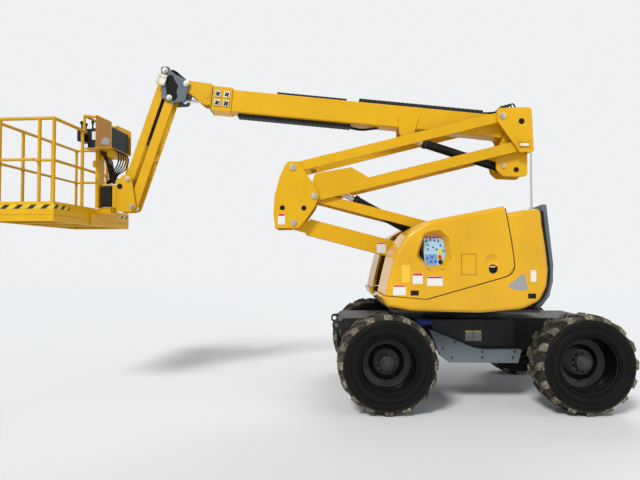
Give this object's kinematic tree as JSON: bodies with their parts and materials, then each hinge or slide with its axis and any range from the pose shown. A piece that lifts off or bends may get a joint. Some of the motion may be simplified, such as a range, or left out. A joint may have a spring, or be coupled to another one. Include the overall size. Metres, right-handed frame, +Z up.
{
  "type": "articulating boom lift",
  "caption": "Self-propelled aerial platform on rough-terrain wheels: a slewing turret, folding parallelogram arms, a telescopic boom, a jib and a turning work platform.",
  "frame": {"origin": "on the ground, at the middle of the parked machine's length and width", "axes": "+X towards the counterweight end, -X towards the platform, +Y towards the far side, +Z up"},
  "size_m": [7.0029, 2.3, 3.9938],
  "materials": {
    "machine_paint": "semi-gloss",
    "hood_paint": "gloss",
    "charcoal_paint": "satin",
    "grey_paint": "satin",
    "black_paint": "satin",
    "chrome_rod": "polished",
    "tyre_rubber": "matte",
    "rim_paint": "gloss",
    "cast_iron": "cast",
    "tray_plastic": "matte",
    "rail_paint": "semi-gloss",
    "deck_metal": "brushed",
    "console_plastic": "textured",
    "control_panel": "satin",
    "mast_white": "gloss"
  },
  "bodies": {
    "chassis": {"chassis_frame": "charcoal_paint", "side_skirts": "grey_paint", "axle_front": "charcoal_paint", "axle_rear": "charcoal_paint", "steering_ram": "black_paint"},
    "knuckle_near": {"steering_knuckle_near": "charcoal_paint"},
    "knuckle_far": {"steering_knuckle_far": "charcoal_paint"},
    "tie_rod": {"tie_rod": "black_paint"},
    "steering_rod": {"steering_rod": "chrome_rod"},
    "wheel_front_near": {"tyre_front_near": "tyre_rubber", "rim_front_near": "rim_paint", "hub_front_near": "cast_iron"},
    "wheel_front_far": {"tyre_front_far": "tyre_rubber", "rim_front_far": "rim_paint", "hub_front_far": "cast_iron"},
    "wheel_rear_near": {"tyre_rear_near": "tyre_rubber", "rim_rear_near": "rim_paint", "hub_rear_near": "cast_iron"},
    "wheel_rear_far": {"tyre_rear_far": "tyre_rubber", "rim_rear_far": "rim_paint", "hub_rear_far": "cast_iron"},
    "turret": {"turret_frame": "charcoal_paint", "hood_shells": "hood_paint", "counterweight": "grey_paint", "engine_block": "cast_iron", "fluid_tank": "tray_plastic", "ground_controls": "control_panel", "antenna_mast": "mast_white"},
    "door_near": {"hood_door_near": "hood_paint"},
    "door_far": {"hood_door_far": "hood_paint"},
    "lower_arm": {"lower_arm": "machine_paint"},
    "lower_link": {"lower_link": "machine_paint"},
    "elbow": {"elbow": "machine_paint"},
    "upper_arm": {"upper_arm": "machine_paint"},
    "upper_link": {"upper_link": "machine_paint"},
    "top_upright": {"top_upright": "machine_paint"},
    "scissor_barrel": {"scissor_barrel": "black_paint"},
    "scissor_rod": {"scissor_rod": "chrome_rod"},
    "main_boom": {"boom_outer": "machine_paint", "hose_trays": "tray_plastic"},
    "inner_boom": {"boom_inner": "machine_paint"},
    "lift_barrel": {"lift_barrel": "black_paint"},
    "lift_rod": {"lift_rod": "chrome_rod"},
    "level_barrel": {"level_barrel": "black_paint"},
    "level_rod": {"level_rod": "chrome_rod"},
    "jib_head": {"jib_head": "grey_paint"},
    "jib_upper": {"jib_upper": "machine_paint"},
    "jib_lower": {"jib_lower": "machine_paint"},
    "jib_barrel": {"jib_barrel": "black_paint"},
    "jib_rod": {"jib_rod": "chrome_rod"},
    "platform_carrier": {"platform_carrier": "black_paint"},
    "platform": {"platform_deck": "deck_metal", "platform_bracket": "black_paint", "guard_rails": "rail_paint", "platform_console": "console_plastic"},
    "entry_bar": {"entry_bar": "rail_paint"}
  },
  "joints": [
    {"name": "steer", "type": "hinge", "parent": "chassis", "child": "knuckle_near", "pos_m": [0.895, -0.8, 0.523], "axis": [0, 0, 1], "range_deg": [-30, 30]},
    {"name": "steer_far", "type": "hinge", "parent": "chassis", "child": "knuckle_far", "pos_m": [0.895, 0.8, 0.523], "axis": [0, 0, 1], "range_deg": [-30, 30]},
    {"name": "tie_rod_pin", "type": "hinge", "parent": "knuckle_near", "child": "tie_rod", "pos_m": [1.085, -0.8, 0.523], "axis": [0, 0, 1], "range_deg": [-30, 30]},
    {"name": "steering_rod_slide", "type": "slide", "parent": "chassis", "child": "steering_rod", "axis": [0, 1, 0], "range_m": [-0.09501, 0.09501]},
    {"name": "roll_front_near", "type": "hinge", "parent": "knuckle_near", "child": "wheel_front_near", "pos_m": [0.895, -0.9575, 0.523], "axis": [0, 1, 0], "continuous": true},
    {"name": "roll_front_far", "type": "hinge", "parent": "knuckle_far", "child": "wheel_front_far", "pos_m": [0.895, 0.9575, 0.523], "axis": [0, 1, 0], "continuous": true},
    {"name": "roll_rear_near", "type": "hinge", "parent": "chassis", "child": "wheel_rear_near", "pos_m": [2.955, -0.9575, 0.523], "axis": [0, 1, 0], "continuous": true},
    {"name": "roll_rear_far", "type": "hinge", "parent": "chassis", "child": "wheel_rear_far", "pos_m": [2.955, 0.9575, 0.523], "axis": [0, 1, 0], "continuous": true},
    {"name": "slew", "type": "hinge", "parent": "chassis", "child": "turret", "pos_m": [1.925, 0, 1.06], "axis": [0, 0, 1], "range_deg": [-175, 175]},
    {"name": "hood_near", "type": "hinge", "parent": "turret", "child": "door_near", "pos_m": [1.724, -0.33, 2.082], "axis": [-0.9819, 0, -0.1894], "range_deg": [0, 55]},
    {"name": "hood_far", "type": "hinge", "parent": "turret", "child": "door_far", "pos_m": [1.724, 0.33, 2.082], "axis": [0.9819, 0, 0.1894], "range_deg": [0, 55]},
    {"name": "arm_lift", "type": "hinge", "parent": "turret", "child": "lower_arm", "pos_m": [2.391, 0, 1.391], "axis": [0, 1, 0], "range_deg": [0, 50]},
    {"name": "lower_link_pin", "type": "hinge", "parent": "turret", "child": "lower_link", "pos_m": [2.636, 0, 1.713], "axis": [0, 1, 0], "range_deg": [0, 50]},
    {"name": "elbow_pin", "type": "hinge", "parent": "lower_arm", "child": "elbow", "pos_m": [-0.1239, 0, 2.05077], "axis": [0, 1, 0], "range_deg": [-50, 0]},
    {"name": "upper_arm_pin", "type": "hinge", "parent": "elbow", "child": "upper_arm", "pos_m": [0.1211, 0, 2.37277], "axis": [0, 1, 0], "range_deg": [-50, 0]},
    {"name": "upper_link_pin", "type": "hinge", "parent": "elbow", "child": "upper_link", "pos_m": [-0.1379, 0, 2.71777], "axis": [0, 1, 0], "range_deg": [-50, 0]},
    {"name": "upright_pin", "type": "hinge", "parent": "upper_arm", "child": "top_upright", "pos_m": [2.65467, 0, 2.99977], "axis": [0, 1, 0], "range_deg": [0, 50]},
    {"name": "scissor_foot", "type": "hinge", "parent": "lower_arm", "child": "scissor_barrel", "pos_m": [1.75578, 0, 1.72823], "axis": [0, 1, 0], "range_deg": [-4.36, 0]},
    {"name": "scissor_slide", "type": "slide", "parent": "scissor_barrel", "child": "scissor_rod", "axis": [-0.8769, 0, 0.4806], "range_m": [0, 0.76727]},
    {"name": "boom_lift", "type": "hinge", "parent": "top_upright", "child": "main_boom", "pos_m": [2.62597, 0, 3.27797], "axis": [0, 1, 0], "range_deg": [-8, 70]},
    {"name": "lift_foot", "type": "hinge", "parent": "top_upright", "child": "lift_barrel", "pos_m": [2.43797, 0, 2.75497], "axis": [0, 1, 0], "range_deg": [-6.76, 58.99]},
    {"name": "lift_slide", "type": "slide", "parent": "lift_barrel", "child": "lift_rod", "axis": [-0.9515, 0, 0.3077], "range_m": [-0.06495, 0.56756]},
    {"name": "telescope", "type": "slide", "parent": "main_boom", "child": "inner_boom", "axis": [-0.9953, 0, 0.0967], "range_m": [0, 2.3]},
    {"name": "level_pin", "type": "hinge", "parent": "inner_boom", "child": "jib_head", "pos_m": [-1.45958, 0, 3.78045], "axis": [0, 1, 0], "range_deg": [-70, 8]},
    {"name": "level_foot", "type": "hinge", "parent": "inner_boom", "child": "level_barrel", "pos_m": [-0.66243, 0, 3.55731], "axis": [0, 1, 0], "range_deg": [-0.77, 6.73]},
    {"name": "level_slide", "type": "slide", "parent": "level_barrel", "child": "level_rod", "axis": [-0.9988, 0, 0.0493], "range_m": [-0.19901, 0.02283]},
    {"name": "jib_lift", "type": "hinge", "parent": "jib_head", "child": "jib_lower", "pos_m": [-1.66958, 0, 3.60245], "axis": [0, 1, 0], "range_deg": [-3, 135]},
    {"name": "jib_upper_pin", "type": "hinge", "parent": "jib_head", "child": "jib_upper", "pos_m": [-1.72558, 0, 3.94245], "axis": [0, 1, 0], "range_deg": [-3, 135]},
    {"name": "carrier_pin", "type": "hinge", "parent": "jib_lower", "child": "platform_carrier", "pos_m": [-2.12015, 0, 2.25583], "axis": [0, 1, 0], "range_deg": [-135, 3]},
    {"name": "jib_foot", "type": "hinge", "parent": "jib_head", "child": "jib_barrel", "pos_m": [-1.72558, 0, 3.94245], "axis": [0, 1, 0], "range_deg": [-3.02, 135.03]},
    {"name": "jib_slide", "type": "slide", "parent": "jib_barrel", "child": "jib_rod", "axis": [-0.2278, 0, -0.9737], "range_m": [-0.6368, 0.01425]},
    {"name": "platform_turn", "type": "hinge", "parent": "platform_carrier", "child": "platform", "pos_m": [-2.44315, 0, 2.25583], "axis": [0, 0, 1], "range_deg": [-75, 85]},
    {"name": "entry_bar_pin", "type": "hinge", "parent": "platform", "child": "entry_bar", "pos_m": [-3.34022, -0.84503, 2.697], "axis": [-0.0872, -0.9962, 0], "range_deg": [0, 86]}
  ],
  "couplings": [
    {"joint": "steer_far", "follows": "steer", "ratio": 1},
    {"joint": "tie_rod_pin", "follows": "steer", "ratio": -1},
    {"joint": "steering_rod_slide", "follows": "steer", "m_per_rad": 0.18144},
    {"joint": "lower_link_pin", "follows": "arm_lift", "ratio": 1},
    {"joint": "elbow_pin", "follows": "arm_lift", "ratio": -1},
    {"joint": "upper_arm_pin", "follows": "arm_lift", "ratio": -1},
    {"joint": "upper_link_pin", "follows": "arm_lift", "ratio": -1},
    {"joint": "upright_pin", "follows": "arm_lift", "ratio": 1},
    {"joint": "scissor_foot", "follows": "arm_lift", "ratio": -0.086105},
    {"joint": "scissor_slide", "follows": "arm_lift", "m_per_rad": 0.87911},
    {"joint": "lift_foot", "follows": "boom_lift", "ratio": 0.84243},
    {"joint": "lift_slide", "follows": "boom_lift", "m_per_rad": 0.46447},
    {"joint": "level_pin", "follows": "boom_lift", "ratio": -1},
    {"joint": "level_foot", "follows": "boom_lift", "ratio": 0.095899},
    {"joint": "level_slide", "follows": "boom_lift", "m_per_rad": -0.16281},
    {"joint": "jib_upper_pin", "follows": "jib_lift", "ratio": 1},
    {"joint": "carrier_pin", "follows": "jib_lift", "ratio": -1},
    {"joint": "jib_foot", "follows": "jib_lift", "ratio": 1.0001},
    {"joint": "jib_slide", "follows": "jib_lift", "m_per_rad": -0.27022}
  ]
}
